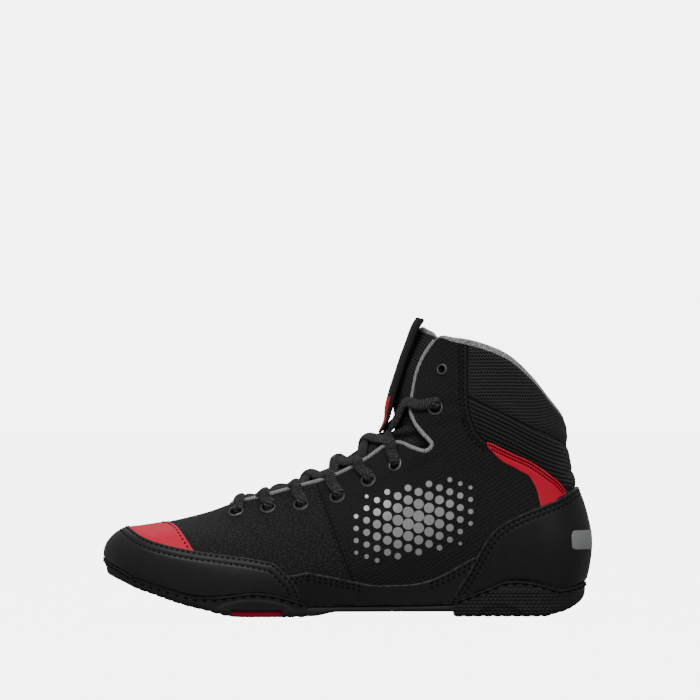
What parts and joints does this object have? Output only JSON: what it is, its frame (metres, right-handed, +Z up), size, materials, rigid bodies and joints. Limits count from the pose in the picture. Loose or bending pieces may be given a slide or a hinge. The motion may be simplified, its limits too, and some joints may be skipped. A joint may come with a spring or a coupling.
{
  "type": "wrestling shoe",
  "caption": "Left high-top wrestling shoe with a hollow lasted upper, padded tongue, criss-cross lace, synthetic overlays and a split rubber sole.",
  "frame": {"origin": "on the floor under the heel, at the centre of the heel's flat tread", "axes": "+X towards the heel, so the toe points along -X; -Y is the lateral side, +Z is up"},
  "size_m": [0.2843, 0.0991, 0.1736],
  "materials": {
    "fabric": "black woven and knitted fabric",
    "lining": "grey heather lining",
    "synthetic": "smooth black synthetic, satin",
    "red_synthetic": "smooth red synthetic, satin",
    "rubber": "black moulded rubber",
    "red_rubber": "red moulded rubber",
    "lace": "black woven lace",
    "eyelet": "dark grey enamelled metal"
  },
  "bodies": {
    "root": {"upper": "fabric", "tongue": "fabric", "insole": "lining", "outsole_forefoot": "rubber", "outsole_heel": "rubber", "outsole_insert": "red_rubber", "sole_arch": "synthetic", "toe_cap": "synthetic", "toe_flash": "red_synthetic", "rand_lateral": "synthetic", "rand_medial": "synthetic", "heel_counter": "synthetic", "heel_flash_lateral": "red_synthetic", "heel_flash_medial": "red_synthetic", "lace_cover": "red_synthetic", "lace_bar": "lace", "lace_cross_1": "lace", "lace_cross_2": "lace", "lace_cross_3": "lace", "lace_cross_4": "lace", "lace_cross_5": "lace", "lace_cross_6": "lace", "eyelet_lateral_1": "eyelet", "eyelet_lateral_2": "eyelet", "eyelet_lateral_3": "eyelet", "eyelet_lateral_4": "eyelet", "eyelet_lateral_5": "eyelet", "eyelet_lateral_6": "eyelet", "eyelet_lateral_7": "eyelet", "eyelet_lateral_8": "eyelet", "eyelet_medial_1": "eyelet", "eyelet_medial_2": "eyelet", "eyelet_medial_3": "eyelet", "eyelet_medial_4": "eyelet", "eyelet_medial_5": "eyelet", "eyelet_medial_6": "eyelet", "eyelet_medial_7": "eyelet", "eyelet_medial_8": "eyelet"}
  },
  "joints": []
}
